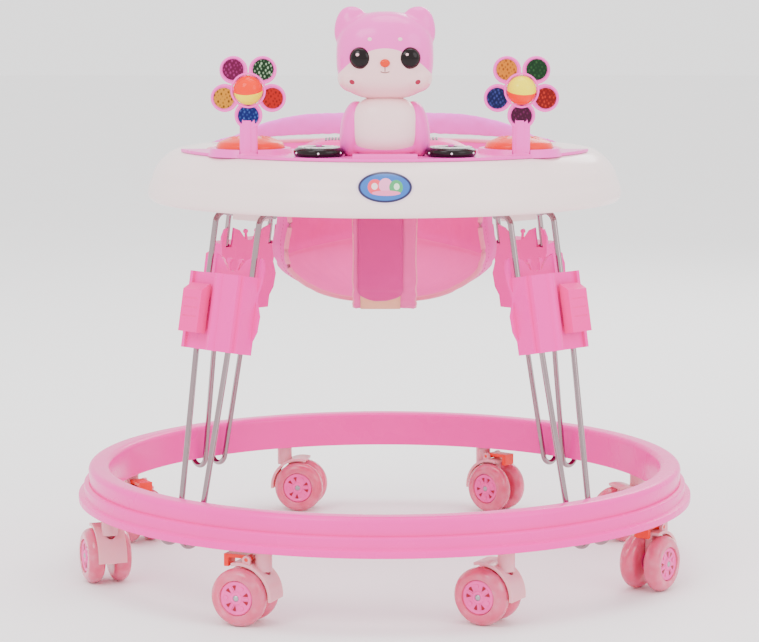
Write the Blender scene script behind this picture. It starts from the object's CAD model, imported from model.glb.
import math

import bmesh
import bpy
from mathutils import Matrix, Vector, noise
from mathutils.bvhtree import BVHTree


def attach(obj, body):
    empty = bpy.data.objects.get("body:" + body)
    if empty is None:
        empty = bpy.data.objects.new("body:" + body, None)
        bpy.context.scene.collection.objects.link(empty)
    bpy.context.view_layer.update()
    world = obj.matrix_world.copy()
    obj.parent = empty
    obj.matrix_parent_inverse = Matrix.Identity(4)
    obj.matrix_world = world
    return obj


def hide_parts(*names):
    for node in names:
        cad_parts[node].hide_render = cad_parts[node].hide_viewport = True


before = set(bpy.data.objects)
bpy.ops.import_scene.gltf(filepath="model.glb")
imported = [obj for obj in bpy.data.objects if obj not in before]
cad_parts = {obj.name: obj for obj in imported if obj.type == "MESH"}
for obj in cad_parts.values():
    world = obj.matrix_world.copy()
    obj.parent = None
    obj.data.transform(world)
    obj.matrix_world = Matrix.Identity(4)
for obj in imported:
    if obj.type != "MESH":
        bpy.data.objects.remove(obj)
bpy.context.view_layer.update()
scene = bpy.context.scene
corners = ["front_left", "front_right", "back_right", "back_left"]
print("frame loaded")

# camera, floor and lights
viewPlan = {"place": (-0.0054, -2.780, 0.624), "tiltDown": 7.4, "lens": 123.5}
studio = {"floor": (0.95, 0.945, 0.945), "world": 1.9, "key": 46, "fill": 22, "top": 34, "back": 26}


def addCamera():
    data = bpy.data.cameras.new("walkerCamera")
    data.lens, data.sensor_width = viewPlan["lens"], 36
    camera = bpy.data.objects.new("walkerCamera", data)
    camera.location = viewPlan["place"]
    camera.rotation_euler = (math.radians(90 - viewPlan["tiltDown"]), 0, 0)
    scene.collection.objects.link(camera)
    scene.camera = camera


def addLight(name, place, target, size, power):
    data = bpy.data.lights.new(name, "AREA")
    data.shape, data.size, data.energy = "DISK", size, power
    lamp = bpy.data.objects.new(name, data)
    lamp.location = place
    lamp.rotation_euler = (Vector(target) - Vector(place)).to_track_quat("-Z", "Y").to_euler()
    scene.collection.objects.link(lamp)


# node and mesh helpers
def add(tree, kind, inputs=None, **settings):
    made = tree.nodes.new(kind)
    for key, value in settings.items():
        setattr(made, key, value)
    for key, value in (inputs or {}).items():
        if isinstance(value, bpy.types.NodeSocket):
            tree.links.new(value, made.inputs[key])
        else:
            made.inputs[key].default_value = value
    return made


def calc(tree, operation, first, second=0.0, third=0.0):
    return add(tree, "ShaderNodeMath", {0: first, 1: second, 2: third}, operation=operation).outputs[0]


def tinted(colour, factor):
    return tuple(min(1.0, c * factor) for c in colour[:3]) + (1.0,)


def blendColours(tree, factor, first, second):
    mix = tree.nodes.new("ShaderNodeMix")
    mix.data_type = "RGBA"
    for key, value in ((0, factor), (6, first), (7, second)):
        if isinstance(value, bpy.types.NodeSocket):
            tree.links.new(value, mix.inputs[key])
        else:
            mix.inputs[key].default_value = value
    return mix.outputs[2]


def clouds(tree, place, scale, detail=2.0):
    return add(tree, "ShaderNodeTexNoise", {"Vector": place, "Scale": scale, "Detail": detail}).outputs["Fac"]


# a value carried from one range to another
def ramp(tree, value, low, high, first, last):
    return add(tree, "ShaderNodeMapRange", {0: value, 1: low, 2: high, 3: first, 4: last}).outputs[0]


# a material, its tree, its shader and the piece's own coordinates
def newMaterial(name):
    made = bpy.data.materials.new(name)
    made.use_nodes = True
    tree = made.node_tree
    return made, tree, tree.nodes["Principled BSDF"], add(tree, "ShaderNodeTexCoord").outputs["Object"]


def setSockets(shader, values):
    for key, value in values.items():
        shader.inputs[key].default_value = value


def surfaceGrain(tree, shader, place, rough, spread, scale, depth, cloud):
    patchy = clouds(tree, place, scale, 4.0)
    worn = ramp(tree, cloud, 0.3, 0.7, rough - spread, rough + spread)
    tree.links.new(worn, shader.inputs["Roughness"])
    bump = add(tree, "ShaderNodeBump", {"Height": patchy, "Strength": 0.35, "Distance": depth})
    tree.links.new(bump.outputs[0], shader.inputs["Normal"])


# injection-moulded plastic: faint flow clouds in the colour, a fine skin and an uneven shine
def moulded(name, colour, rough=0.26, tint=0.05, cloudScale=14.0, depth=0.00008, **sockets):
    made, tree, shader, place = newMaterial(name)
    cloud = clouds(tree, place, cloudScale, 3.0)
    shade = blendColours(tree, cloud, tinted(colour, 1 - tint), tinted(colour, 1 + tint))
    tree.links.new(shade, shader.inputs["Base Color"])
    surfaceGrain(tree, shader, place, rough, 0.05, 420.0, depth, cloud)
    setSockets(shader, {"Specular IOR Level": 0.20, "Coat Weight": 0.05, "Coat Roughness": 0.08,
                        **{key.replace("_", " "): value for key, value in sockets.items()}})
    return made


# plated wire: bright, with faint drawing lines and a little dulling
def platedWire(name, colour, rough):
    made, tree, shader, place = newMaterial(name)
    cloud = clouds(tree, place, 60.0, 4.0)
    shade = blendColours(tree, cloud, tinted(colour, 0.9), tinted(colour, 1.06))
    tree.links.new(shade, shader.inputs["Base Color"])
    surfaceGrain(tree, shader, place, rough, 0.04, 700.0, 0.00004, cloud)
    shader.inputs["Metallic"].default_value = 1.0
    return made


# woven cloth on the piece's own map, whose unit is a metre of cloth
def woven(name, colour, pitch=0.0009, creases=0.5, lowColour=None, lowAt=0.0, lowSlope=0.0):
    made, tree, shader, place = newMaterial(name)
    flat = add(tree, "ShaderNodeUVMap", uv_map="clothMap").outputs[0]
    bands = [add(tree, "ShaderNodeTexWave", {"Vector": flat, "Scale": 1 / pitch / 6.2832 * 2, "Distortion": 0.4,
                                             "Detail": 1.0}, bands_direction=d).outputs["Fac"] for d in ("X", "Y")]
    weave = calc(tree, "MULTIPLY", bands[0], bands[1])
    cloud = clouds(tree, place, 22.0, 5.0)
    base = blendColours(tree, cloud, tinted(colour, 0.90), tinted(colour, 1.10))
    if lowColour:
        at = add(tree, "ShaderNodeSeparateXYZ", {0: place}).outputs
        height = calc(tree, "MULTIPLY_ADD", calc(tree, "ABSOLUTE", at[0], 0.0), lowSlope, at[2])
        lower = blendColours(tree, cloud, tinted(lowColour, 0.93), tinted(lowColour, 1.07))
        base = blendColours(tree, calc(tree, "LESS_THAN", height, lowAt), base, lower)
    shade = blendColours(tree, calc(tree, "MULTIPLY", weave, 0.10), base, tinted(colour, 1.5))
    tree.links.new(shade, shader.inputs["Base Color"])
    rumple = clouds(tree, place, 34.0)
    soft = add(tree, "ShaderNodeBump", {"Height": rumple, "Strength": creases, "Distance": 0.0015})
    bump = add(tree, "ShaderNodeBump", {"Height": weave, "Strength": 0.35, "Distance": 0.0002,
                                        "Normal": soft.outputs[0]})
    tree.links.new(bump.outputs[0], shader.inputs["Normal"])
    setSockets(shader, {"Roughness": 0.7, "Specular IOR Level": 0.25, "Sheen Weight": 0.125, "Sheen Roughness": 0.4})
    return made


def linkPiece(name, mesh):
    piece = bpy.data.objects.new(name, mesh)
    scene.collection.objects.link(piece)
    return piece


# closed shells gathered into one mesh, each with the number of its material
class Shells:
    def __init__(self):
        self.verts, self.faces, self.numbers = [], [], []

    def add(self, shape, number=0, place=None):
        verts, faces = shape
        base = len(self.verts)
        self.verts += [place @ Vector(v) if place else Vector(v) for v in verts]
        self.faces += [[base + i for i in f] for f in faces]
        self.numbers += [number] * len(faces)
        return self

    def piece(self, name, materials, sharp=35.0, outward=True):
        mesh = bpy.data.meshes.new(name)
        mesh.from_pydata([tuple(v) for v in self.verts], [], self.faces)
        for each in materials:
            mesh.materials.append(each)
        mesh.polygons.foreach_set("material_index", self.numbers)
        work = bmesh.new()
        work.from_mesh(mesh)
        if outward:
            bmesh.ops.recalc_face_normals(work, faces=work.faces)
        for face in work.faces:
            face.smooth = True
        for edge in work.edges:
            if len(edge.link_faces) == 2 and edge.calc_face_angle(0) > math.radians(sharp):
                edge.smooth = False
        work.to_mesh(mesh)
        work.free()
        return linkPiece(name, mesh)


# a section of (radius, height) pairs turned about Z, closed on itself or by its poles
def lathe(section, count=64, loop=True):
    verts, rows = [], []
    for r, z in section:
        if r < 1e-6:
            rows.append([len(verts)] * count)
            verts.append((0, 0, z))
        else:
            rows.append([len(verts) + k for k in range(count)])
            verts += [(r * math.cos(2 * math.pi * k / count), r * math.sin(2 * math.pi * k / count), z)
                      for k in range(count)]
    faces = []
    for j in range(len(rows) if loop else len(rows) - 1):
        a, b = rows[j], rows[(j + 1) % len(rows)]
        for k in range(count):
            m = (k + 1) % count
            face = list(dict.fromkeys([a[k], a[m], b[m], b[k]]))
            if len(face) > 2:
                faces.append(face)
    return verts, faces


# corners of a section rounded to a radius
def rounded(section, radius, steps=4):
    out, n = [], len(section)
    for i, (x, y) in enumerate(section):
        p, a, b = Vector((x, y)), Vector(section[i - 1]), Vector(section[(i + 1) % n])
        reach = min(radius, (a - p).length * 0.45, (b - p).length * 0.45)
        start, end = p + (a - p).normalized() * reach, p + (b - p).normalized() * reach
        for k in range(steps + 1):
            t = k / steps
            q = start * (1 - t) ** 2 + p * 2 * t * (1 - t) + end * t * t
            out.append((q.x, q.y))
    return out


# a smooth line through points
def spline(points, steps):
    pts = [Vector(p) for p in points]
    out, n = [], len(pts)
    for i in range(n - 1):
        at = [pts[min(max(i + d, 0), n - 1)] for d in (-1, 0, 1, 2)]
        for k in range(steps):
            t = k / steps
            out.append(0.5 * (2 * at[1] + (at[2] - at[0]) * t + (2 * at[0] - 5 * at[1] + 4 * at[2] - at[3]) * t ** 2
                              + (3 * at[1] - at[0] - 3 * at[2] + at[3]) * t ** 3))
    return out + [pts[-1]]


# a round or flattened tube along points
def tube(points, radius, sides, flat=1.0, up=(0, 0, 1)):
    pts = [Vector(p) for p in points]
    n, verts, faces = len(pts), [], []
    for i, p in enumerate(pts):
        ahead, behind = pts[min(i + 1, n - 1)], pts[max(i - 1, 0)]
        along = (ahead - behind).normalized()
        side = along.cross(Vector(up))
        side = side.normalized() if side.length > 1e-4 else along.orthogonal().normalized()
        top = side.cross(along)
        verts += [p + side * math.cos(2 * math.pi * k / sides) * radius
                  + top * math.sin(2 * math.pi * k / sides) * radius * flat for k in range(sides)]
    for i in range(n - 1):
        for k in range(sides):
            m, j = (k + 1) % sides, i + 1
            faces.append([i * sides + k, i * sides + m, j * sides + m, j * sides + k])
    faces += [list(range(sides))[::-1], [(n - 1) * sides + k for k in range(sides)]]
    return verts, faces


def skinOf(piece):
    mesh = piece.data
    return BVHTree.FromPolygons([v.co for v in mesh.vertices], [list(f.vertices) for f in mesh.polygons])


def powered(value, power):
    return math.copysign(abs(value) ** power, value)


# a ball or soft block: round is 1, smaller is squarer, first across and then upwards
def softBlock(centre, semi, square=(1.0, 1.0), rings=24, sides=40):
    verts, faces = [], []
    for j in range(rings + 1):
        v = -math.pi / 2 + math.pi * j / rings
        for k in range(sides):
            u = 2 * math.pi * k / sides
            verts.append(Vector(centre) + Vector((
                semi[0] * powered(math.cos(v), square[1]) * powered(math.cos(u), square[0]),
                semi[1] * powered(math.cos(v), square[1]) * powered(math.sin(u), square[0]),
                semi[2] * powered(math.sin(v), square[1]))))
    for j in range(rings):
        for k in range(sides):
            m = (k + 1) % sides
            faces.append([j * sides + k, j * sides + m, (j + 1) * sides + m, (j + 1) * sides + k])
    return verts, faces


# a flat outline given a thickness, standing along Z
def slab(outline, low, high):
    n = len(outline)
    verts = [(x, y, low) for x, y in outline] + [(x, y, high) for x, y in outline]
    faces = [list(range(n))[::-1], [n + k for k in range(n)]]
    faces += [[k, (k + 1) % n, n + (k + 1) % n, n + k] for k in range(n)]
    return verts, faces


# the mesh its modifiers make, which are then taken off
def evaluated(piece):
    made = bpy.data.meshes.new_from_object(piece.evaluated_get(bpy.context.evaluated_depsgraph_get()))
    piece.modifiers.clear()
    return made


def bake(piece):
    materials = list(piece.data.materials)
    piece.data = evaluated(piece)
    piece.data.materials.clear()
    for each in materials:
        piece.data.materials.append(each)


def mergeDoubles(piece, reach=1e-5):
    work = bmesh.new()
    work.from_mesh(piece.data)
    bmesh.ops.remove_doubles(work, verts=work.verts, dist=reach)
    work.to_mesh(piece.data)
    work.free()


def meshShape(work):
    work.verts.index_update()
    shape = [v.co.copy() for v in work.verts], [[v.index for v in f.verts] for f in work.faces]
    work.free()
    return shape


# shells joined and softened into one skin
def fuse(piece, voxel, softening):
    mergeDoubles(piece)
    skin = piece.modifiers.new("skin", "REMESH")
    skin.mode, skin.voxel_size, skin.use_smooth_shade = "VOXEL", voxel, True
    soften = piece.modifiers.new("soften", "SMOOTH")
    soften.factor, soften.iterations = 0.5, softening
    bake(piece)
    piece.data.polygons.foreach_set("material_index", [0] * len(piece.data.polygons))
    return piece


# a merged copy of a CAD node with its mould edges rounded, which stands for the node
def fromNode(node, body, material, slotName, edge=0.0007, angle=30.0, segments=2):
    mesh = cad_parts[node].data.copy()
    mesh.materials.clear()
    mesh.materials.append(material)
    if "custom_normal" in mesh.attributes:
        mesh.attributes.remove(mesh.attributes["custom_normal"])
    work = bmesh.new()
    work.from_mesh(mesh)
    bmesh.ops.remove_doubles(work, verts=work.verts, dist=0.00002)
    bmesh.ops.dissolve_degenerate(work, edges=work.edges, dist=0.00001)
    if edge:
        bmesh.ops.dissolve_limit(work, angle_limit=math.radians(0.6), verts=work.verts, edges=work.edges)
    for face in work.faces:
        face.smooth, face.material_index = True, 0
    for line in work.edges:
        line.smooth = len(line.link_faces) == 2 and line.calc_face_angle(0) <= math.radians(angle)
    work.to_mesh(mesh)
    work.free()
    piece = linkPiece(node + "_moulding", mesh)
    if edge:
        soft = piece.modifiers.new("roundedEdges", "BEVEL")
        soft.width, soft.segments, soft.limit_method = edge, segments, "ANGLE"
        soft.angle_limit, soft.harden_normals, soft.use_clamp_overlap = math.radians(angle), False, True
    return seat(piece, body, slotName, node)


def seat(piece, body, slotName, *nodes):
    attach(piece, body)
    if nodes:
        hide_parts(*nodes)
    return piece


def moved(x, y, z):
    return Matrix.Translation((x, y, z))


def turned(degrees, axis):
    return Matrix.Rotation(math.radians(degrees), 4, axis)


# Geometry Nodes
def newTree(name, inputs):
    tree = bpy.data.node_groups.new(name, "GeometryNodeTree")
    tree.interface.new_socket("Geometry", in_out="INPUT", socket_type="NodeSocketGeometry")
    for label, kind, value in inputs:
        item = tree.interface.new_socket(label, in_out="INPUT", socket_type="NodeSocket" + kind)
        if value is not None:
            item.default_value = value
    tree.interface.new_socket("Geometry", in_out="OUTPUT", socket_type="NodeSocketGeometry")
    return tree, add(tree, "NodeGroupInput"), add(tree, "NodeGroupOutput")


def closeTree(tree, start, end, copies, turn=None):
    whole = add(tree, "GeometryNodeRealizeInstances", {0: copies}).outputs[0]
    if turn:
        whole = add(tree, "GeometryNodeTransform", {"Geometry": whole, "Rotation": turn}).outputs[0]
    painted = add(tree, "GeometryNodeSetMaterial", {"Geometry": whole, "Material": start.outputs["Material"]})
    tree.links.new(painted.outputs[0], end.inputs[0])
    return tree


# thread stitches laid along a line
def stitchTree():
    tree, start, end = newTree("threadStitches", [("Spacing", "Float", 0.005), ("Stitch", "Float", 0.003),
                                                  ("Thread", "Float", 0.0004), ("Material", "Material", None)])
    line = add(tree, "GeometryNodeMeshToCurve", {0: start.outputs["Geometry"]})
    points = add(tree, "GeometryNodeCurveToPoints", {"Curve": line.outputs[0], "Length": start.outputs["Spacing"]},
                 mode="LENGTH")
    bead = add(tree, "GeometryNodeMeshUVSphere", {"Segments": 6, "Rings": 5, "Radius": 1.0})
    size = add(tree, "ShaderNodeCombineXYZ", {0: start.outputs["Thread"], 1: start.outputs["Thread"],
                                              2: calc(tree, "MULTIPLY", start.outputs["Stitch"], 0.5)})
    bead = add(tree, "GeometryNodeTransform", {"Geometry": bead.outputs[0], "Scale": size.outputs[0]})
    copies = add(tree, "GeometryNodeInstanceOnPoints", {"Points": points.outputs["Points"],
                 "Instance": bead.outputs[0], "Rotation": points.outputs["Rotation"]})
    return closeTree(tree, start, end, copies.outputs[0])


# copies of the piece's own mesh set round an axis
def roundTree():
    tree, start, end = newTree("roundPattern", [("Count", "Int", 6), ("Radius", "Float", 0.01),
                                                ("First Turn", "Float", 0.0), ("Material", "Material", None)])
    ring = add(tree, "GeometryNodeMeshCircle", {key: start.outputs[source] for key, source in
                                                (("Vertices", "Count"), ("Radius", "Radius"))})
    index = add(tree, "GeometryNodeInputIndex").outputs[0]
    step = calc(tree, "DIVIDE", 2 * math.pi, start.outputs["Count"])
    turn = add(tree, "ShaderNodeCombineXYZ", {2: calc(tree, "MULTIPLY", index, step)})
    copies = add(tree, "GeometryNodeInstanceOnPoints", {"Points": ring.outputs[0],
                 "Instance": start.outputs["Geometry"], "Rotation": turn.outputs[0]})
    first = add(tree, "ShaderNodeCombineXYZ", {2: start.outputs["First Turn"]})
    return closeTree(tree, start, end, copies.outputs[0], first.outputs[0])


def runTree(piece, tree, **values):
    pattern = piece.modifiers.new("pattern", "NODES")
    pattern.node_group = tree
    for item in tree.interface.items_tree:
        label = item.name.replace(" ", "")
        if item.in_out == "INPUT" and label in values:
            pattern[item.identifier] = values[label]
    piece.data = evaluated(piece)
    for face in piece.data.polygons:
        face.use_smooth = True
    return piece


def linePiece(name, points):
    mesh = bpy.data.meshes.new(name)
    mesh.from_pydata([tuple(p) for p in points], [(i, i + 1) for i in range(len(points) - 1)], [])
    return linkPiece(name, mesh)


stitches, roundPattern = stitchTree(), roundTree()


def sew(name, points, spacing, length, thread):
    seat(runTree(linePiece(name, points), stitches, Spacing=spacing, Stitch=length, Thread=thread,
                 Material=threadPink), "tray", "pink_fabric")


print("helpers ready")

# finishes
pinkPlastic = moulded("pinkPlastic", (0.97, 0.013, 0.39), rough=0.27)
deepPinkPlastic = moulded("deepPinkPlastic", (0.97, 0.010, 0.31), rough=0.30)
palePinkPlastic = moulded("palePinkPlastic", (0.97, 0.085, 0.55), rough=0.24)
milkyPlastic = moulded("milkyPlastic", (0.95, 0.36, 0.43), rough=0.22, Subsurface_Weight=0.25,
                       Transmission_Weight=0.12)
creamPlastic = moulded("creamPlastic", (0.95, 0.76, 0.75), rough=0.20, tint=0.02)
orangePlastic = moulded("orangePlastic", (0.86, 0.018, 0.006), rough=0.25)
leverRed = moulded("leverRed", (0.80, 0.016, 0.010), rough=0.22)
blackPlastic = moulded("blackPlastic", (0.008, 0.003, 0.004), rough=0.16)
whitePrint = moulded("whitePrint", (0.86, 0.86, 0.86), rough=0.3)
hubPlastic = moulded("hubPlastic", (0.93, 0.07, 0.38), rough=0.2, tint=0.16, cloudScale=90.0)
hubHole = moulded("hubHole", (0.30, 0.003, 0.02), rough=0.3)
speakerCloth = moulded("speakerCloth", (0.03, 0.03, 0.032), rough=0.6)
legWire = platedWire("legWire", (0.34, 0.25, 0.27), 0.14)
kingpinSteel = platedWire("kingpinSteel", (0.36, 0.36, 0.38), 0.3)


# floor ring
ringPlan = {"inner": 0.296, "bottom": 0.075, "flange": 0.330, "flangeTop": 0.082, "ledge": 0.324, "ledgeTop": 0.095,
            "crown": 0.319, "top": 0.113, "wall": 0.003, "bossCircle": 0.310, "boss": 0.0065, "bore": 0.00405,
            "shoulder": 0.006, "firstBoss": 247.5}


def makeFloorRing():
    p = ringPlan
    w = p["wall"]
    section = rounded([(p["inner"], p["bottom"]), (p["inner"] + w, p["bottom"]), (p["inner"] + w, p["top"] - w),
                       (p["crown"] - w, p["top"] - w), (p["crown"] - w, p["ledgeTop"] - w),
                       (p["ledge"] - w, p["ledgeTop"] - w), (p["ledge"] - w, p["bottom"]),
                       (p["flange"], p["bottom"]), (p["flange"], p["flangeTop"]), (p["ledge"], p["flangeTop"] + 0.0012),
                       (p["ledge"], p["ledgeTop"] - 0.0015), (p["crown"], p["ledgeTop"])], 0.0012, 3)
    bend = p["shoulder"]
    shoulder = [(p["crown"], p["top"] - bend)] + [
        (p["crown"] - bend + bend * math.cos(a), p["top"] - bend + bend * math.sin(a))
        for a in [math.pi / 2 * k / 7 for k in range(1, 8)]]
    inner = [(p["inner"] + bend - bend * math.cos(a), p["top"] - bend + bend * math.sin(a))
             for a in [math.pi / 2 * (1 - k / 7) for k in range(8)]]
    shells = Shells().add(lathe(section + shoulder + inner, 288))
    low, high = p["bottom"] - 0.0002, p["top"] - w - 0.0002
    boss = rounded([(p["bore"], low), (p["boss"], low), (p["boss"], high), (p["bore"], high)], 0.0005, 2)
    for k in range(8):
        shells.add(lathe(boss, 32), 0, turned(p["firstBoss"] + 45 * k, "Z") @ moved(p["bossCircle"], 0, 0))
    ring = shells.piece("floorRing", [pinkPlastic], 28)
    seat(ring, "base", "pink_plastic", "base_ring")


makeFloorRing()
fromNode("caster_kingpins", "base", kingpinSteel, "bright_steel", 0.0003)
fromNode("ring_clips", "base", deepPinkPlastic, "pink_plastic", 0.0008)
print("floor ring made")

# casters
casterPlan = {"circle": 0.310, "trail": 0.020, "wheel": 0.029, "gap": 0.010, "width": 0.018, "hub": 0.0170,
              "turns": [158, 150, 235, 200, -40, -10, -60, 110], "firstPin": 247.5, "shoulder": 0.008,
              "core": 0.0095, "bore": 0.0031, "axle": 0.003, "axleHalf": 0.0052}


# tinted see-through wheel: pink depths, paler blots and a glossy skin
def wheelJelly(name):
    made, tree, shader, place = newMaterial(name)
    cells = add(tree, "ShaderNodeTexVoronoi", {"Vector": place, "Scale": 120.0, "Randomness": 1.0},
                feature="SMOOTH_F1").outputs["Distance"]
    cloud = clouds(tree, place, 75.0, 3.0)
    light = ramp(tree, cells, 0.12, 0.55, 1.0, 0.0)
    deep = ramp(tree, cloud, 0.42, 0.66, 0.0, 1.0)
    base = blendColours(tree, calc(tree, "MULTIPLY", light, 0.4), (0.94, 0.12, 0.27, 1), (0.97, 0.34, 0.48, 1))
    base = blendColours(tree, calc(tree, "MULTIPLY", deep, 0.45), base, (0.78, 0.04, 0.14, 1))
    tree.links.new(base, shader.inputs["Base Color"])
    surfaceGrain(tree, shader, place, 0.14, 0.04, 260.0, 0.0003, cloud)
    setSockets(shader, {"Transmission Weight": 0.35, "IOR": 1.38, "Subsurface Weight": 0.2, "Coat Weight": 0.5,
                        "Coat Roughness": 0.06})
    return made


jelly = wheelJelly("wheelJelly")


def hubCuts(name, outline, count, radius, first, depth, material):
    cut = Shells().add(slab(outline, 0, depth)).piece(name, [material], 25)
    return runTree(cut, roundPattern, Count=count, Radius=radius, FirstTurn=first, Material=material)


# one wheel in its own frame: axle along Z, inner face at 0
def wheelShells(p):
    r, w, hub, core, bore, shoulder = (p[key] for key in ("wheel", "width", "hub", "core", "bore", "shoulder"))
    tread = [(core, 0.0)] + [(r - shoulder + shoulder * math.cos(a), w / 2 + w / 2 * math.sin(a))
                             for a in [math.radians(-90 + 10 * k) for k in range(19)]]
    tread += [(hub + 0.0009, w), (hub + 0.0003, w - 0.0012), (hub, w - 0.0032), (core, w - 0.0032)]
    face = rounded([(bore, 0.0006), (core, 0.0006), (core + 0.0002, w - 0.0034), (hub - 0.0002, w - 0.0031),
                    (hub - 0.0002, w - 0.0016), (hub - 0.0018, w - 0.0010), (hub - 0.0040, w - 0.0022),
                    (0.0068, w - 0.0022), (0.0055, w - 0.0006), (bore, w - 0.0006)], 0.0005, 2)
    cap = [(0, w - 0.0003), (0.0018, w - 0.0001), (0.0029, w - 0.0008), (0.0029, w - 0.004), (0, w - 0.004)]
    return [(lathe(tread, 72), 0), (lathe(face, 48), 1), (lathe(cap, 20, loop=False), 2)]


def makeCasters():
    p = casterPlan
    top = p["width"] - 0.0021
    triangle = [(-0.0002, 0.0), (0.0052, -0.0021), (0.0058, 0.0), (0.0052, 0.0021)]
    lobe = [(0.0022 * math.cos(a), 0.0022 * math.sin(a)) for a in [2 * math.pi * k / 12 for k in range(12)]]
    arm = [(-0.004, -0.0008), (0.004, -0.0011), (0.004, 0.0011), (-0.004, 0.0008)]
    patterns = [hubCuts("hubHoles", triangle, 3, 0.0074, 0.35, 0.0002, hubHole),
                hubCuts("hubHolesTwin", triangle, 3, 0.0074, -0.35, 0.0002, hubHole),
                hubCuts("hubLobes", lobe, 3, 0.0112, 1.05, 0.0008, hubPlastic),
                hubCuts("hubArms", arm, 3, 0.0095, 0.0, 0.0007, hubPlastic)]
    for k in range(8):
        az, turn = p["firstPin"] + 45 * k, p["turns"][k]
        kingpin = turned(az, "Z") @ moved(p["circle"], 0, 0) @ turned(turn - az, "Z")
        axle = kingpin @ moved(p["trail"], 0, p["wheel"])
        shells = Shells()
        for half in (0, 1):
            place = axle @ turned(90 + 180 * half, "X") @ turned(37 * k + 60, "Z") @ moved(0, 0, p["gap"] / 2)
            for shape, number in wheelShells(p):
                shells.add(shape, number, place)
            for pattern, number in zip(patterns, (3, 3, 1, 1)):
                shape = [v.co for v in pattern.data.vertices], [list(f.vertices) for f in pattern.data.polygons]
                shells.add(shape, number, place @ moved(0, 0, top))
        rod, end = p["axle"], p["axleHalf"]
        shells.add(lathe([(0, -end), (rod, -end), (rod, end), (0, end)], 20, loop=False), 2, axle @ turned(90, "X"))
        wheels = shells.piece(f"twinWheels_{k + 1}", [jelly, hubPlastic, kingpinSteel, hubHole], 30)
        seat(wheels, f"wheels_{k + 1}", "tinted_wheel_plastic", f"caster_wheels_{k + 1}")
        fromNode(f"caster_hood_{k + 1}", f"caster_{k + 1}", milkyPlastic, "pale_pink_plastic", 0.0009, 32, 3)
        if k % 2 == 0:
            fromNode(f"brake_tab_{k + 1}", f"brake_{k + 1}", leverRed, "orange_plastic", 0.0009, 30, 3)
    for pattern in patterns:
        bpy.data.objects.remove(pattern)


makeCasters()
print("casters made")

# legs
for corner in corners:
    fromNode(f"lower_wires_{corner}", f"lower_leg_{corner}", legWire, "plated_wire", 0)
    fromNode(f"upper_wires_{corner}", f"upper_leg_{corner}", legWire, "plated_wire", 0)
    fromNode(f"height_bracket_{corner}", f"lower_leg_{corner}", pinkPlastic, "pink_plastic", 0.0012, 30, 3)
    fromNode(f"height_button_{corner}", f"button_{corner}", deepPinkPlastic, "pink_plastic", 0.0012, 30, 3)
print("legs made")

# tray
trayPlan = {"outer": [(0.248, 0.396), (0.2506, 0.3985), (0.252, 0.403), (0.2508, 0.411), (0.248, 0.4185),
                      (0.2436, 0.430), (0.2352, 0.4402), (0.2262, 0.4468), (0.219, 0.449)],
            "opening": 0.190, "top": 0.449, "wall": 0.003, "lip": 0.425}


def makeTray():
    p = trayPlan
    outer = [tuple(v) for v in spline(p["outer"], 5)]
    opening = rounded([(p["opening"] + 0.012, p["top"]), (p["opening"], p["top"]), (p["opening"], p["lip"]),
                       (p["opening"] + p["wall"], p["lip"]), (p["opening"] + p["wall"], p["top"] - p["wall"]),
                       (p["opening"] + 0.012, p["top"] - p["wall"])], 0.0028, 4)[5:-5]
    inner = [(r - p["wall"] * 0.9, z - 0.0012 if z > 0.42 else z) for r, z in outer[::-1]]
    inner[-1] = (inner[-1][0], p["outer"][0][1] + 0.0004)
    rim = Shells().add(lathe(outer + opening + inner, 256)).piece("trayRim", [creamPlastic], 40)
    return seat(rim, "tray", "white_plastic", "tray_rim")


trayRimPiece = makeTray()
fromNode("tray_clips", "tray", creamPlastic, "white_plastic", 0.001)
fromNode("battery_box", "tray", deepPinkPlastic, "pink_plastic", 0.001)
fromNode("battery_cover", "tray", deepPinkPlastic, "pink_plastic", 0.0006)
fromNode("speaker", "tray", speakerCloth, "speaker_black", 0.0006)
fromNode("music_tray", "tray", palePinkPlastic, "pink_plastic", 0.0011, 25, 3)
print("tray made")


# cat figure
catPlan = {"middle": -0.168, "headCentre": 0.5515, "eyeSide": 0.0245, "eyeHeight": 0.5505, "eye": 0.0100,
           "browLine": 0.560, "browCurve": 12.0, "belly": 0.0335, "cheek": (0.0325, 0.5270), "brow": (0.0150, 0.5690),
           "nose": 0.5455, "mouth": (0.5415, 0.5372), "smile": 0.0046, "ink": 0.00045, "voxel": 0.0016}


# pink above a curved line across the face and pale below it
def catHeadFinish():
    made, tree, shader, place = newMaterial("catHeadPaint")
    at = add(tree, "ShaderNodeSeparateXYZ", {0: place}).outputs
    side = calc(tree, "MULTIPLY", at[0], at[0])
    line = calc(tree, "MULTIPLY_ADD", side, -catPlan["browCurve"], catPlan["browLine"])
    below = ramp(tree, calc(tree, "SUBTRACT", line, at[2]), -0.0002, 0.0002, 0.0, 1.0)
    front = calc(tree, "LESS_THAN", at[1], catPlan["middle"] + 0.012)
    pale = calc(tree, "MULTIPLY", below, front)
    cloud = clouds(tree, place, 20.0, 3.0)
    rosy = ramp(tree, at[2], 0.505, 0.528, 0.55, 0.0)
    face = blendColours(tree, rosy, (0.93, 0.56, 0.58, 1), (0.93, 0.26, 0.38, 1))
    fur = blendColours(tree, cloud, (0.96, 0.078, 0.50, 1), (0.98, 0.11, 0.57, 1))
    tree.links.new(blendColours(tree, pale, fur, face), shader.inputs["Base Color"])
    surfaceGrain(tree, shader, place, 0.22, 0.04, 420.0, 0.00006, cloud)
    setSockets(shader, {"Specular IOR Level": 0.30, "Coat Weight": 0.10, "Coat Roughness": 0.08})
    return made


# where a line straight back from the front meets a skin, and which way the skin faces there
def surfaceAt(skin, x, z):
    return skin.ray_cast(Vector((x, -0.4, z)), Vector((0, 1, 0)))[:2]


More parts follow.
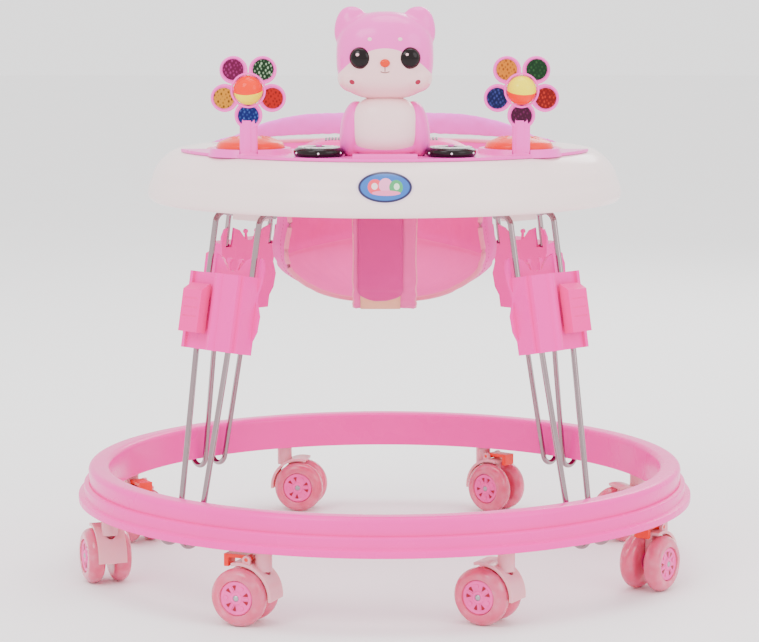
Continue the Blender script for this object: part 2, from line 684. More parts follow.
# a small lens laid on the skin
def button(hit, normal, semi, number, spin=0.0):
    turn = normal.to_track_quat("Z", "Y").to_matrix().to_4x4()
    lens = softBlock((0, 0, 0), semi, rings=14, sides=28)
    return lens, number, Matrix.Translation(hit) @ turn @ turned(spin, "Z")


def makeCat():
    p = catPlan
    y = p["middle"]
    head = Shells().add(softBlock((0, y, p["headCentre"]), (0.0487, 0.0375, 0.0428), (0.80, 0.72)))
    head.add(softBlock((0, y - 0.002, p["headCentre"] + 0.004), (0.044, 0.036, 0.0405), (0.9, 0.8)))
    for s in (-1, 1):
        ear = softBlock((0, 0, 0), (0.0165, 0.0125, 0.0215), (0.95, 0.85))
        head.add(ear, 0, moved(s * 0.0338, y, 0.5795) @ turned(s * -9, "Y"))
        head.add(softBlock((s * 0.031, y - 0.009, 0.5305), (0.0165, 0.026, 0.0150)))
    head = fuse(head.piece("catHead", [catHeadFinish()]), p["voxel"], 7)
    seat(head, "cat_head", "toy_pink_plastic", "cat_head")
    skin = skinOf(head)

    glass = moulded("eyeGloss", (0.005, 0.0014, 0.002), rough=0.09, tint=0.3, depth=0.00001, Coat_Weight=0.05)
    iris = moulded("eyeRim", (0.06, 0.006, 0.012), rough=0.12, depth=0.00001)
    nose = moulded("noseRed", (0.75, 0.035, 0.008), rough=0.15)
    blush = moulded("cheekDots", (0.34, 0.008, 0.045), rough=0.3)
    halo = moulded("paleDots", (0.93, 0.55, 0.60), rough=0.25)
    ink = moulded("mouthLine", (0.30, 0.10, 0.09), rough=0.4)
    face = Shells()
    for s in (-1, 1):
        hit, normal = surfaceAt(skin, s * p["eyeSide"], p["eyeHeight"])
        outward = (normal + Vector((0, -1.2, 0))).normalized()
        for wide, deep, number in ((p["eye"] + 0.0007, 0.0016, 1), (p["eye"] - 0.0004, 0.0046, 0)):
            face.add(*button(hit, outward, (wide, wide, deep), number))
        spark = hit + Vector((-0.0026, -0.0040, 0.0034))
        face.add(softBlock(spark, (0.0017, 0.0008, 0.0015), rings=8, sides=14), 4)
        hit, normal = surfaceAt(skin, s * p["cheek"][0], p["cheek"][1])
        for semi, number in (((0.0042, 0.0036, 0.0005), 4), ((0.0031, 0.0026, 0.0010), 3)):
            face.add(*button(hit, normal, semi, number, s * 40))
        hit, normal = surfaceAt(skin, s * p["brow"][0], p["brow"][1])
        face.add(*button(hit, normal, (0.0022, 0.0019, 0.0007), 4))
    hit, normal = surfaceAt(skin, 0, p["nose"])
    face.add(*button(hit, normal, (0.0050, 0.0041, 0.0036), 2))
    top, low = p["mouth"]
    smile = [(p["smile"] * math.sin(a), low - 0.0010 * math.cos(a * 1.4)) for a in [-1.2 + 0.2 * k for k in range(13)]]
    for line in ([(0, top), (0, low)], smile):
        points = [surfaceAt(skin, x, z)[0] + Vector((0, -0.0001, 0)) for x, z in line]
        face.add(tube(points, p["ink"], 8, up=(0, 1, 0)), 5)
    seat(face.piece("catFace", [glass, iris, nose, blush, halo, ink]), "cat_head", "toy_pink_plastic")

    belly = Shells().add(softBlock((0, y - 0.004, 0.4815), (p["belly"], 0.0265, 0.0305), (0.9, 0.72)))
    cream = moulded("bellyCream", (0.95, 0.66, 0.67), rough=0.2, tint=0.03)
    belly = fuse(belly.piece("catBelly", [cream]), p["voxel"], 3)
    seat(belly, "tray", "toy_pink_plastic")
    arms = Shells().add(softBlock((0, y + 0.008, 0.478), (0.0350, 0.0245, 0.0265), (0.9, 0.8)))
    for s in (-1, 1):
        arms.add(softBlock((0, 0, 0), (0.0135, 0.0200, 0.0285), (1.0, 0.85)), 0,
                 moved(s * 0.0312, y + 0.003, 0.4785) @ turned(s * -9, "Y"))
    arms.add(softBlock((0, y, 0.4605), (0.033, 0.026, 0.0075), (0.9, 0.7)))
    arms = fuse(arms.piece("catArms", [palePinkPlastic]), p["voxel"], 5)
    seat(arms, "tray", "toy_pink_plastic", "cat_body")


makeCat()
print("cat made")

# flowers
flowerPlan = {"x": 0.137, "y": -0.160, "z": 0.5172, "hub": 0.0178, "petal": 0.01404, "reach": 0.02496, "ball": 0.0152,
              "thick": 0.007, "stalk": 0.018, "recess": 0.0011, "stalkBack": -0.0032, "stalkFront": 0.0038,
              "left": [((0.003, 0.006, 0.09), (0.04, 0.09, 0.30)), ((0.50, 0.20, 0.010), (0.07, 0.02, 0.002)),
                       ((0.10, 0.002, 0.034), (0.26, 0.02, 0.13)), ((0.004, 0.022, 0.006), (0.30, 0.46, 0.27)),
                       ((0.36, 0.005, 0.003), (0.12, 0.002, 0.001))],
              "right": [((0.04, 0.002, 0.018), (0.11, 0.008, 0.06)), ((0.003, 0.004, 0.045), (0.03, 0.04, 0.18)),
                        ((0.52, 0.15, 0.006), (0.20, 0.04, 0.003)), ((0.004, 0.024, 0.007), (0.02, 0.07, 0.02)),
                        ((0.15, 0.003, 0.003), (0.40, 0.02, 0.01))]}


# printed film with rows of slanted flecks
def petalFilm(name, ground, fleck):
    made, tree, shader, place = newMaterial(name)
    slanted = add(tree, "ShaderNodeMapping", {"Vector": place, "Rotation": (0, 0.6, 0), "Scale": (330.0, 0.0, 230.0)})
    cells = add(tree, "ShaderNodeTexVoronoi", {"Vector": slanted.outputs[0], "Scale": 1.0, "Randomness": 0.35})
    spot = ramp(tree, cells.outputs["Distance"], 0.20, 0.42, 1.0, 0.0)
    cloud = clouds(tree, place, 160.0)
    shade = blendColours(tree, calc(tree, "MULTIPLY", spot, 0.9), ground + (1,), fleck + (1,))
    tree.links.new(shade, shader.inputs["Base Color"])
    surfaceGrain(tree, shader, place, 0.28, 0.08, 300.0, 0.00005, cloud)
    setSockets(shader, {"Coat Weight": 0.03, "Coat Roughness": 0.15, "Specular IOR Level": 0.14})
    return made


# ball with a half of each colour
def ballFinish(name, upper, lower, centre, lean):
    made, tree, shader, place = newMaterial(name)
    axis = (lean, -0.30, 1.0)
    level = add(tree, "ShaderNodeVectorMath", {0: place, 1: axis}, operation="DOT_PRODUCT").outputs["Value"]
    edge = Vector(centre).dot(Vector(axis))
    top = ramp(tree, level, edge - 0.0001, edge + 0.0001, 0.0, 1.0)
    cloud = clouds(tree, place, 40.0)
    tree.links.new(blendColours(tree, top, lower + (1,), upper + (1,)), shader.inputs["Base Color"])
    surfaceGrain(tree, shader, place, 0.16, 0.04, 300.0, 0.00004, cloud)
    setSockets(shader, {"Specular IOR Level": 0.16, "Coat Weight": 0.03, "Coat Roughness": 0.08})
    return made


def makeFlowers():
    p = flowerPlan
    orange, yellow = (0.92, 0.024, 0.0), (0.95, 0.78, 0.0)
    front = turned(90, "X")                       # lathed pieces face -Y
    for side, s in (("left", -1), ("right", 1)):
        centre = moved(s * p["x"], p["y"], p["z"])
        frameShells, films = Shells(), Shells()
        half = p["thick"] / 2
        petal, ball, floor = p["petal"], p["ball"], half - p["recess"]
        disc = rounded([(0.004, -half), (petal, -half), (petal, half), (petal - 0.0022, half),
                        (petal - 0.0027, floor), (0.004, floor)], 0.0014, 4)
        disc = [(0, -half)] + disc[3:-3] + [(0, floor)]
        film = [(0, floor), (petal - 0.0036, floor), (petal - 0.0036, half - 0.0004), (0, half - 0.0001)]
        for k in range(5):
            around = centre @ turned(72 * k, "Y")
            frameShells.add(lathe(disc, 40, loop=False), 0, around @ moved(0, 0, -p["reach"]) @ front)
            films.add(lathe(film, 36, loop=False), k, around @ moved(0, 0, -p["reach"] - 0.0006) @ front)
        hub = rounded([(p["hub"], -0.004), (p["hub"], 0.0046), (ball + 0.0004, 0.0046), (ball + 0.0004, -0.004)],
                      0.0009, 3)
        frameShells.add(lathe(hub, 64), 0, centre @ front)
        wide, back, ahead = p["stalk"] / 2, p["stalkBack"], p["stalkFront"]
        stalk = rounded([(-wide, back), (wide, back), (wide, ahead), (-wide, ahead)], 0.0030, 4)
        frameShells.add(slab(stalk, 0.4493, p["z"] - p["hub"] - petal * 0.6), 0, moved(s * p["x"], p["y"], 0))
        ridge = [(x * 0.5, yy * 0.6 - 0.0020) for x, yy in stalk]
        frameShells.add(slab(ridge, 0.4495, 0.487), 0, moved(s * p["x"] - 0.0016, p["y"], 0))
        flower = frameShells.piece(f"flowerFrame_{side}", [palePinkPlastic], 30)
        seat(flower, "tray", "toy_pink_plastic", f"flower_frame_{side}")
        materials = [petalFilm(f"petalFilm_{side}_{k}", *p[side][k]) for k in range(5)]
        seat(films.piece(f"petalFilms_{side}", materials, 30), "tray", "printed_film", f"petal_stickers_{side}")
        at = Vector((s * p["x"], p["y"], p["z"]))
        pin = Vector((0.0176, 0, 0))
        orb = Shells().add(softBlock(at, (ball - 0.0002,) * 3, rings=28, sides=48))
        orb.add(tube([at - pin, at + pin], 0.0015, 12))
        seam = [(ball - 0.0004, -0.0003), (ball + 0.0001, 0), (ball - 0.0004, 0.0003)]
        orb.add(lathe(seam, 64), 0, centre @ turned(17, "X"))
        upper, lower = (orange, yellow) if s < 0 else (yellow, orange)
        paint = ballFinish(f"ballHalves_{side}", upper, lower, at, s * 0.06)
        seat(orb.piece(f"flowerBall_{side}", [paint]), f"ball_{side}", "ball_plastic", f"flower_ball_{side}")


makeFlowers()
print("flowers made")

# push buttons and turning discs
pushPlan = {"x": 0.137, "y": -0.122, "r": 0.0348, "low": 0.4557, "base": 0.4572, "cut": -0.1551, "crown": 0.0118,
            "leaves": 7, "leaf": (0.0082, 0.0044, 0.0018), "leafCircle": 0.0225}
discPlan = {"x": 0.066, "y": -0.180, "r": 0.0255, "low": 0.4526, "top": 0.4612, "bore": 0.0031,
            "rib": (0.0045, 0.0060), "stripes": 15, "stripeCircle": 0.0155, "stripeLean": -24,
            "stripe": [(-0.0009, -0.0085), (0.0011, -0.0075), (0.0019, 0.0015), (0.0008, 0.0085),
                       (-0.0012, 0.0070), (-0.0004, 0.0)], "dots": 6, "dot": 0.0011}


def makePushButtons():
    p = pushPlan
    for side, s in (("left", -1), ("right", 1)):
        r, low, base = p["r"], p["low"], p["base"]
        dome = rounded([(r, low), (r, base + 0.0022), (r * 0.93, base + 0.0062), (r * 0.62, base + 0.0102),
                        (0.004, base + p["crown"]), (0.004, low)], 0.003, 4)[:-5]
        shape = lathe([(0, low)] + dome + [(0, base + p["crown"])], 72, loop=False)
        shells = Shells().add(shape, 0, moved(s * p["x"], p["y"], 0))
        button = shells.piece(f"pushDome_{side}", [orangePlastic], 40)
        work = bmesh.new()
        work.from_mesh(button.data)
        cut = bmesh.ops.bisect_plane(work, geom=work.verts[:] + work.edges[:] + work.faces[:],
                                     plane_co=(0, p["cut"], 0), plane_no=(0, -1, 0), clear_outer=True)
        bmesh.ops.holes_fill(work, edges=[e for e in cut["geom_cut"] if isinstance(e, bmesh.types.BMEdge)], sides=0)
        work.to_mesh(button.data)
        work.free()
        seat(button, f"push_{side}", "orange_plastic", f"orange_button_{side}")
        petals = Shells()                          # raised leaf shapes round the dome
        for k in range(p["leaves"]):
            place = moved(s * p["x"], p["y"], base + 0.0082) @ turned(-35 + 250 / 6 * k, "Z")
            petals.add(softBlock((0, 0, 0), p["leaf"], rings=10, sides=18), 0,
                       place @ moved(p["leafCircle"], 0, 0) @ turned(22, "Y"))
        seat(petals.piece(f"pushLeaves_{side}", [orangePlastic]), f"push_{side}", "orange_plastic")


def makeDiscs():
    p = discPlan
    for side, s in (("left", -1), ("right", 1)):
        place, body = moved(s * p["x"], p["y"], 0), f"disc_{side}"
        r, low, top = p["r"], p["low"], p["top"]
        drum = rounded([(p["bore"], low), (r - 0.0012, low), (r, low + 0.0032), (r - 0.0006, top - 0.0022),
                        (r - 0.0040, top), (p["bore"], top - 0.0003)], 0.0012, 3)
        thin, wide = p["rib"]
        rib = rounded([(thin, top - 0.001), (wide, top - 0.001), (wide, top + 0.0012), (thin, top + 0.0012)], 0.0004, 2)
        shells = Shells().add(lathe(drum, 72), 0, place).add(lathe(rib, 40), 0, place)
        seat(shells.piece(f"turnDisc_{side}", [blackPlastic], 40), body, "black_plastic", f"black_disc_{side}")
        bar = Shells().add(slab(p["stripe"], -0.0008, 0.0007), 0, turned(p["stripeLean"], "Z"))
        dot = Shells().add(softBlock((0, 0, 0), (p["dot"],) * 3, rings=8, sides=12))
        for shells, name, sharp, count, circle, first, z in (
                (bar, "discStripes", 20, p["stripes"], p["stripeCircle"], 0.1, top + 0.0003),
                (dot, "discDots", 35, p["dots"], r - 0.0003, math.radians(-90), low + 0.0036)):
            marks = runTree(shells.piece(f"{name}_{side}", [whitePrint], sharp), roundPattern, Count=count,
                            Radius=circle, FirstTurn=first, Material=whitePrint)
            marks.data.transform(moved(s * p["x"], p["y"], z))
            seat(marks, body, "black_plastic")


makePushButtons()
makeDiscs()
print("push buttons and discs made")

# mound over the speaker, and the printed oval on the tray
moundPlan = {"x": 0.0915, "y": -0.1065, "half": 0.0335, "high": 0.0150, "base": 0.4500, "power": 3.2}
stickerPlan = {"z": 0.4262, "wide": 0.0284, "tall": 0.0162, "sides": 64, "rings": 10,
               "shapes": [(0, 0, 0.95, 0.92, (0.02, 0.015, 0.07, 1)), (0, 0, 0.86, 0.79, (0.025, 0.13, 0.46, 1)),
                          (-0.34, 0.02, 0.26, 0.46, (0.86, 0.05, 0.10, 1)),
                          (0.02, 0.12, 0.24, 0.42, (0.90, 0.30, 0.55, 1)),
                          (0.38, 0.00, 0.24, 0.44, (0.05, 0.34, 0.12, 1)),
                          (0.04, -0.34, 0.50, 0.16, (0.88, 0.20, 0.42, 1)),
                          (-0.36, 0.06, 0.11, 0.20, (0.88, 0.66, 0.70, 1)),
                          (0.40, 0.04, 0.10, 0.20, (0.62, 0.80, 0.60, 1))]}


def makeMound():
    p = moundPlan
    work = bmesh.new()
    rings, sides = 18, 96
    rows = []
    for i in range(rings + 1):
        t = i / rings
        row = []
        for k in range(sides):
            a = 2 * math.pi * k / sides
            x = p["x"] * powered(math.cos(a), 0.72) * t
            y = p["y"] + p["half"] * powered(math.sin(a), 0.85) * t
            rise = (1 - t ** p["power"]) ** 0.75 if t < 1 else 0.0
            crest = 0.0011 * math.exp(-((y - p["y"] - 0.002) / 0.0045) ** 2) * (t < 0.9)
            sag = 0.0016 * math.cos(x * 95) * rise
            row.append(work.verts.new((x, y, p["base"] + 0.0020 + p["high"] * rise + crest + sag)))
        rows.append(row)
    for low, high in zip(rows, rows[1:]):
        for k in range(sides):
            work.faces.new((low[k], low[k - 1], high[k - 1], high[k]))
    foot = [work.verts.new((v.co.x, v.co.y, p["base"])) for v in rows[-1]]
    for k in range(sides):
        work.faces.new((rows[-1][k], rows[-1][k - 1], foot[k - 1], foot[k]))
    work.faces.new(foot)
    mound = Shells().add(meshShape(work)).piece("speakerMound", [pinkPlastic], 50)
    mergeDoubles(mound, 0.00001)
    seat(mound, "tray", "pink_plastic")
    skin = skinOf(mound)
    slits = Shells()
    for first, last, count in ((-0.060, -0.034, 9), (0.026, 0.053, 9)):
        for k in range(count):
            x = first + (last - first) * k / (count - 1)
            line = []
            for j in range(7):
                y = p["y"] - 0.0115 + 0.0185 * j / 6
                hit = skin.ray_cast(Vector((x, y, 0.6)), Vector((0, 0, -1)))[0]
                line.append(hit + Vector((0, 0, 0.0001)))
            slits.add(tube(line, 0.0011, 8, flat=0.4, up=(0, 0, 1)))
    seat(slits.piece("moundSlits", [blackPlastic]), "tray", "pink_plastic")


# abstract coloured shapes on blue, inside a dark and a pale rim
def stickerFilm():
    made, tree, shader, place = newMaterial("ovalFilm")
    p = stickerPlan
    at = add(tree, "ShaderNodeSeparateXYZ", {0: place}).outputs

    def disc(x, z, wide, tall):
        across = calc(tree, "DIVIDE", calc(tree, "SUBTRACT", at[0], x), wide)
        upward = calc(tree, "DIVIDE", calc(tree, "SUBTRACT", at[2], z), tall)
        far = calc(tree, "ADD", calc(tree, "MULTIPLY", across, across), calc(tree, "MULTIPLY", upward, upward))
        return ramp(tree, far, 0.93, 1.0, 1.0, 0.0)

    shade = add(tree, "ShaderNodeRGB").outputs[0]
    shade.default_value = (0.80, 0.62, 0.74, 1)
    for x, z, wide, tall, colour in p["shapes"]:
        spot = disc(x * p["wide"], p["z"] + z * p["tall"], wide * p["wide"], tall * p["tall"])
        shade = blendColours(tree, spot, shade, colour)
    tree.links.new(shade, shader.inputs["Base Color"])
    cloud = clouds(tree, place, 90.0)
    surfaceGrain(tree, shader, place, 0.2, 0.05, 380.0, 0.00004, cloud)
    setSockets(shader, {"Specular IOR Level": 0.35, "Coat Weight": 0.15, "Coat Roughness": 0.06})
    return made


def makeSticker():
    p = stickerPlan
    rimSkin = skinOf(trayRimPiece)
    work = bmesh.new()
    rows = []
    rings, sides = p["rings"], p["sides"]
    for i in range(rings + 1):
        row = []
        for k in range(sides):
            a = 2 * math.pi * k / sides
            x, z = p["wide"] * math.cos(a) * i / rings, p["z"] + p["tall"] * math.sin(a) * i / rings
            row.append(work.verts.new(surfaceAt(rimSkin, x, z)[0] + Vector((0, -0.00035, 0))))
        rows.append(row)
    for low, high in zip(rows, rows[1:]):
        for k in range(sides):
            work.faces.new((low[k - 1], low[k], high[k], high[k - 1]))
    edge = [work.verts.new(v.co + Vector((0, 0.0006, 0))) for v in rows[-1]]
    for k in range(sides):
        work.faces.new((rows[-1][k - 1], rows[-1][k], edge[k], edge[k - 1]))
    film = Shells().add(meshShape(work)).piece("ovalSticker", [stickerFilm()], 40, outward=False)
    mergeDoubles(film, 0.00001)
    if sum(f.normal.y for f in film.data.polygons) > 0:
        film.data.flip_normals()
    seat(film, "tray", "printed_film")


makeMound()
makeSticker()
print("mound and oval made")

# cloth: sling, crotch strap and backrest
clothPlan = {"rows": [(0.002, 0.284, 0.032), (0.046, 0.287, 0.032), (0.084, 0.298, 0.032), (0.114, 0.318, 0.032),
                      (0.122, 0.340, 0.032), (0.122, 0.390, 0.032), (0.1855, 0.4405, 0.0), (0.1872, 0.4470, 0.0)],
             "thick": 0.003, "first": -30.0, "turn": 240.0, "crease": 0.336, "slope": 0.16, "seam": 0.078,
             "strap": [(0.050, 0.280), (-0.022, 0.280), (-0.046, 0.286), (-0.064, 0.300), (-0.076, 0.324),
                       (-0.080, 0.406), (-0.076, 0.441)], "strapHalf": 0.033,
             "padInner": 0.194, "padOuter": 0.208, "padLow": 0.4494, "padHigh": 0.480, "padFlat": 0.070,
             "padCap": 0.004, "innerMiddle": -0.0045, "innerHalf": 0.0235, "insetHalf": 0.021,
             "inner": (26, 58), "inset": (14, 30), "puffFrames": 20}
slingCloth = woven("slingCloth", (0.84, 0.026, 0.38), lowColour=(0.88, 0.078, 0.42),
                   lowAt=clothPlan["crease"] + 0.009, lowSlope=clothPlan["slope"])
strapCloth = woven("strapCloth", (0.62, 0.019, 0.24), 0.0008)
bandCloth = woven("bandCloth", (0.84, 0.08, 0.36), 0.0008)
trimCloth = woven("trimCloth", (0.88, 0.24, 0.38), 0.0010, creases=0.2)
insetCloth = woven("insetCloth", (0.82, 0.40, 0.24), 0.0009)
padCloth = woven("padCloth", (0.96, 0.125, 0.70), 0.0009, creases=0.8)
threadPink = moulded("sewingThread", (0.52, 0.05, 0.15), rough=0.6, depth=0.00002)


# a sheet with thickness from a grid of outer points, its edges rounded, mapped in metres of cloth
def clothGrid(name, grid, thick, material):
    rows, cols = len(grid), len(grid[0])
    work = bmesh.new()
    flatMap = work.loops.layers.uv.new("clothMap")
    normals = []
    for i in range(rows):
        line = []
        for k in range(cols):
            down = grid[min(i + 1, rows - 1)][k] - grid[max(i - 1, 0)][k]
            along = grid[i][min(k + 1, cols - 1)] - grid[i][max(k - 1, 0)]
            line.append(along.cross(down).normalized())
        normals.append(line)
    spots, flats = [], {}
    for side in (0, 1):
        sheetVerts = []
        for i in range(rows):
            v = sum((grid[j][cols // 2] - grid[j - 1][cols // 2]).length for j in range(1, i + 1))
            line = []
            for k in range(cols):
                edge = min(i, rows - 1 - i, k, cols - 1 - k)
                inset = thick * (0.28 if edge == 0 else 0.0)
                place = grid[i][k] - normals[i][k] * (thick - inset if side else inset)
                vert = work.verts.new(place)
                flats[vert] = ((k / (cols - 1) - 0.5) * (grid[i][-1] - grid[i][0]).length * 1.4, v)
                line.append(vert)
            sheetVerts.append(line)
        spots.append(sheetVerts)
    top, under = spots

    def face(verts):
        made = work.faces.new(verts)
        made.smooth = True
        for loop in made.loops:
            loop[flatMap].uv = flats[loop.vert]

    for i in range(rows - 1):
        for k in range(cols - 1):
            face((top[i][k], top[i][k + 1], top[i + 1][k + 1], top[i + 1][k]))
            face((under[i][k], under[i + 1][k], under[i + 1][k + 1], under[i][k + 1]))
    for i in range(rows - 1):
        face((top[i][0], top[i + 1][0], under[i + 1][0], under[i][0]))
        face((top[i][-1], under[i][-1], under[i + 1][-1], top[i + 1][-1]))
    for k in range(cols - 1):
        face((top[0][k], under[0][k], under[0][k + 1], top[0][k + 1]))
        face((top[-1][k], top[-1][k + 1], under[-1][k + 1], under[-1][k]))
    bmesh.ops.remove_doubles(work, verts=work.verts, dist=0.00002)
    bmesh.ops.recalc_face_normals(work, faces=work.faces)
    mesh = bpy.data.meshes.new(name)
    work.to_mesh(mesh)
    work.free()
    mesh.materials.append(material)
    return linkPiece(name, mesh)


def wrinkle(place, along, size):
    deep = noise.fractal(Vector((along * 9, place.z * 26, 3.1)), 0.9, 2.1, 3)
    fine = noise.noise(Vector((place.x * 60, place.y * 60, place.z * 45)))
    return size * (0.75 * deep + 0.25 * fine)


def makeSling():
    p = clothPlan
    profile = spline(p["rows"], 9)
    cols = 141
    grid = []
    for i, (r, z, back) in enumerate(profile):
        line = []
        for k in range(cols):
            a = math.radians(p["first"] + p["turn"] * k / (cols - 1))
            place = Vector((r * math.cos(a), back + r * math.sin(a), z))
            out = Vector((math.cos(a), math.sin(a), 0))
            calm = min(1.0, r / 0.07)
            fold = wrinkle(place, a, 0.0016) * calm
            pleat = 0.0012 * math.sin(a * 21 + 1.7 * math.sin(z * 40)) * max(0.0, min(1.0, (z - 0.36) / 0.05))
            crease = -0.0016 * math.exp(-((z + p["slope"] * abs(place.x) - p["crease"] - 0.009) / 0.0028) ** 2)
            seam = -0.0014 * math.exp(-((abs(place.x) - p["seam"]) / 0.0024) ** 2) * calm
            line.append(place + out * (fold + pleat + crease + seam - 0.0009))
        grid.append(line)
    sling = clothGrid("slingSeat", grid, 0.0026, slingCloth)
    seat(sling, "tray", "pink_fabric", "seat_sling")
    hems = Shells()
    for k in (0, cols - 1):
        hems.add(tube([grid[i][k] - Vector((0, 0, 0.0004)) for i in range(5, len(grid))], 0.0026, 10))
    hems.add(tube([grid[-1][k] for k in range(0, cols)], 0.0024, 10))
    trims = hems.piece("slingPiping", [trimCloth])
    mapCloth(trims)
    seat(trims, "tray", "pink_fabric")
    for number, k in enumerate((4, cols - 5)):
        line = [grid[i][k] + Vector((0, 0, -0.0002)) for i in range(6, len(grid) - 2)]
        sew(f"slingStitch_{number}", line, 0.0042, 0.0026, 0.00035)


# cloth map by turn and height for pieces with no cut of their own
def mapCloth(piece):
    flat = piece.data.uv_layers.new(name="clothMap")
    for loop in piece.data.loops:
        co = piece.data.vertices[loop.vertex_index].co
        flat.data[loop.index].uv = (math.atan2(co.x, co.y + 0.5) * 0.6, co.z + co.y * 0.3)


def makeStrap():
    p = clothPlan
    path = spline([(0.0, y, z) for y, z in p["strap"]], 10)
    half, cols = p["strapHalf"], 29
    grid, onTop = [], []
    for i, at in enumerate(path):
        ahead, behind = path[min(i + 1, len(path) - 1)], path[max(i - 1, 0)]
        along = (ahead - behind).normalized()
        out = Vector((0, along.z, -along.y)) if along.z > 0.2 or along.y < 0 else Vector((0, 0, -1))
        if out.y > 0:
            out = -out
        line = []
        for k in range(cols):
            x = (2 * k / (cols - 1) - 1)
            place = Vector((x * half * (0.985 + 0.015 * math.sin(i * 0.7)), at.y, at.z))
            edge = 0.0007 * math.exp(-((abs(x) - 0.93) / 0.05) ** 2)
            fold = (noise.noise(Vector((x * 2.2, i * 0.35, 7.7))) * 0.0011
                    + noise.noise(Vector((x * 6, i * 0.9, 2.2))) * 0.0004)
            line.append(place + out * (edge + fold - 0.0016))
        grid.append(line[::-1])
        onTop.append((at, out))
    strap = clothGrid("crotchStrap", grid, 0.0016, bandCloth)
    seat(strap, "tray", "pink_fabric", "crotch_strap")

    start, end = p["inner"]                            # the inner strap's share of the path
    inner = []
    for i in range(start, end):
        at, out = onTop[i]
        low = max(0.0, (start + 7 - i) / 7)
        line = []
        for k in range(15):
            x = 2 * k / 14 - 1
            wide = p["innerHalf"] * math.sqrt(max(0.06, 1 - low ** 2))
            ripple = 0.0012 + 0.0003 * math.sin(i * 1.3 + x)
            line.append(Vector((p["innerMiddle"] + x * wide, at.y, at.z)) + out * ripple)
        inner.append(line[::-1])
    over = clothGrid("innerStrap", inner, 0.0014, strapCloth)
    seat(over, "tray", "pink_fabric")
    inset = []
    for i in range(*p["inset"]):
        at, out = onTop[i]
        inset.append([Vector((p["innerMiddle"] + x * p["insetHalf"], at.y, at.z)) + out * 0.0004
                      for x in (1, 0.66, 0.33, 0, -0.33, -0.66, -1)])
    low = clothGrid("strapInset", inset, 0.0012, insetCloth)
    seat(low, "tray", "pink_fabric")
    piping = Shells()
    for k in (0, cols - 1):
        piping.add(tube([grid[i][k] for i in range(len(grid))], 0.0014, 8))
    trims = piping.piece("strapPiping", [trimCloth])
    mapCloth(trims)
    seat(trims, "tray", "pink_fabric")
    for s in (2, 12):
        line = [inner[i][s] + onTop[i + start][1] * 0.0001 for i in range(2, len(inner) - 1)]
        sew(f"strapStitch_{s}", line, 0.0036, 0.0022, 0.0003)


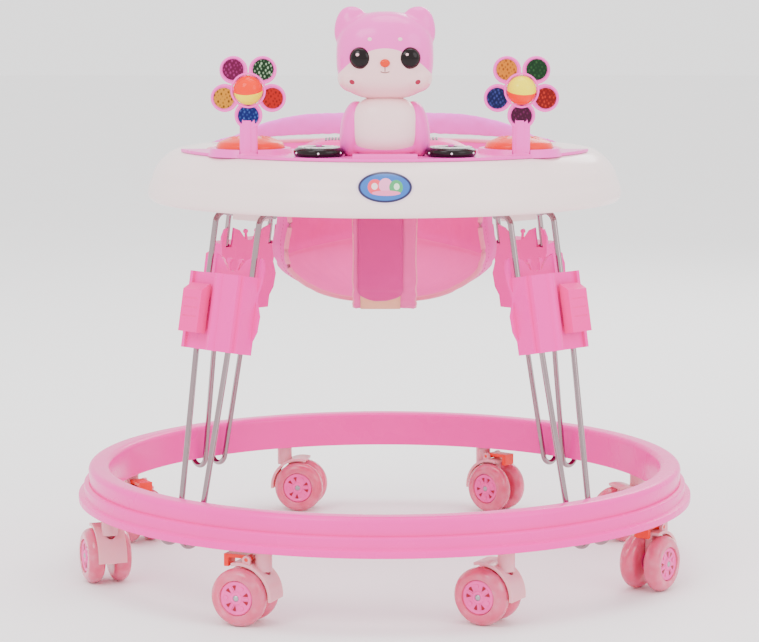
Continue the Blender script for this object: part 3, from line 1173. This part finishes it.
# the pad is blown up as cloth, held within a few millimetres of where it started
def makeBackrest():
    p = clothPlan
    start = bpy.data.objects["backrest"]
    mesh = start.data.copy()
    mesh.transform(start.matrix_world)
    pad = linkPiece("backPad", mesh)
    mesh.materials.clear()
    mesh.materials.append(padCloth)
    middle = (p["padInner"] + p["padOuter"]) / 2
    for v in mesh.vertices:
        r = math.hypot(v.co.x, v.co.y)
        if r > 0.01:
            shrunk = middle + (r - middle) * 0.62
            v.co.x *= shrunk / r
            v.co.y *= shrunk / r
        v.co.z = p["padLow"] + 0.0012 + (v.co.z - p["padLow"]) * 0.93
    skin = pad.modifiers.new("skin", "REMESH")
    skin.mode = "VOXEL"
    skin.voxel_size = 0.0045
    bake(pad)
    smooth = pad.modifiers.new("soften", "SMOOTH")
    smooth.iterations = 4
    bake(pad)
    before = [v.co.copy() for v in pad.data.vertices]
    cloth = pad.modifiers.new("cloth", "CLOTH")
    cloth.settings.quality = 5
    cloth.settings.use_pressure = True
    cloth.settings.uniform_pressure_force = 4.0
    cloth.settings.effector_weights.gravity = 0.0
    cloth.settings.tension_stiffness = 12
    cloth.settings.compression_stiffness = 12
    cloth.settings.shrink_min = -0.02
    cloth.collision_settings.use_collision = False
    for frameNumber in range(1, p["puffFrames"] + 1):
        scene.frame_set(frameNumber)
    bake(pad)
    for v, old in zip(pad.data.vertices, before):
        step = v.co - old
        if step.length > p["padCap"]:
            v.co = old + step.normalized() * p["padCap"]
    scene.frame_set(1)
    finer = pad.modifiers.new("finer", "SUBSURF")
    finer.levels = finer.render_levels = 1
    bake(pad)
    for v in pad.data.vertices:
        a = math.atan2(v.co.y, v.co.x)
        r = math.hypot(v.co.x, v.co.y)
        fall = 1 - 2.4 * max(0.0, abs(v.co.x) - p["padFlat"]) ** 2 / (p["padHigh"] - p["padLow"])
        v.co.z = p["padLow"] + (v.co.z - p["padLow"]) * max(fall, 0.25)
        tuck = 0.0005 * math.sin(a * 30 + 2 * math.sin(a * 7)) * (abs(v.co.x) < 0.13)
        tuck += noise.noise(Vector((a * 14, v.co.z * 70, r * 30))) * 0.0010
        if r > 0.01:
            v.co.x *= 1 + tuck / r
            v.co.y *= 1 + tuck / r
        v.co.z = max(v.co.z, p["padLow"] + 0.0001)
    for face in pad.data.polygons:
        face.use_smooth = True
    flat = pad.data.uv_layers.new(name="clothMap")
    for loop in pad.data.loops:
        co = pad.data.vertices[loop.vertex_index].co
        flat.data[loop.index].uv = (math.atan2(co.x, co.y) * 0.2, co.z + math.hypot(co.x, co.y))
    seat(pad, "tray", "padded_fabric", "backrest")
    studs, skin = Shells(), skinOf(pad)
    for x, y, z in ((-0.158, 0.124, 0.4575), (0.154, 0.128, 0.4555)):
        out = Vector((x, y, 0)).normalized()
        hit = skin.ray_cast(Vector((0, 0, z)), out)[0]
        spin = (-out).to_track_quat("Z", "Y").to_matrix().to_4x4()
        stud = softBlock((0, 0, 0), (0.0046, 0.0046, 0.0021), rings=10, sides=24)
        studs.add(stud, 0, Matrix.Translation(hit) @ spin)
    seat(studs.piece("padStuds", [leverRed]), "tray", "padded_fabric")


makeSling()
print("sling made")
makeStrap()
print("strap made")
makeBackrest()
print("backrest made")


# studio
def makeStudio():
    bpy.ops.mesh.primitive_plane_add(size=30, location=(0, 0, 0))
    floor = bpy.context.object
    floor.name = "studioFloor"
    made, tree, shader, place = newMaterial("floorPaper")
    cloud = clouds(tree, place, 3.0, 3.0)
    tree.links.new(blendColours(tree, cloud, tinted(studio["floor"], 0.99), tinted(studio["floor"], 1.01)),
                   shader.inputs["Base Color"])
    setSockets(shader, {"Roughness": 0.75, "Specular IOR Level": 0.2})
    floor.data.materials.append(made)
    world = bpy.data.worlds.new("paleStudio")
    world.use_nodes = True
    back = world.node_tree.nodes["Background"]
    back.inputs[0].default_value = (1.0, 0.985, 0.985, 1)
    back.inputs[1].default_value = studio["world"]
    scene.world = world
    addLight("keyLight", (-1.6, -2.2, 2.6), (0, 0, 0.35), 1.6, studio["key"])
    addLight("fillLight", (2.2, -1.8, 1.5), (0, 0, 0.35), 1.8, studio["fill"])
    addLight("topLight", (0.2, 0.2, 3.0), (0, 0, 0.4), 1.8, studio["top"])
    addLight("backLight", (0.9, 2.4, 1.8), (0, 0, 0.3), 1.4, studio["back"])
    addCamera()


makeStudio()
print("studio made")
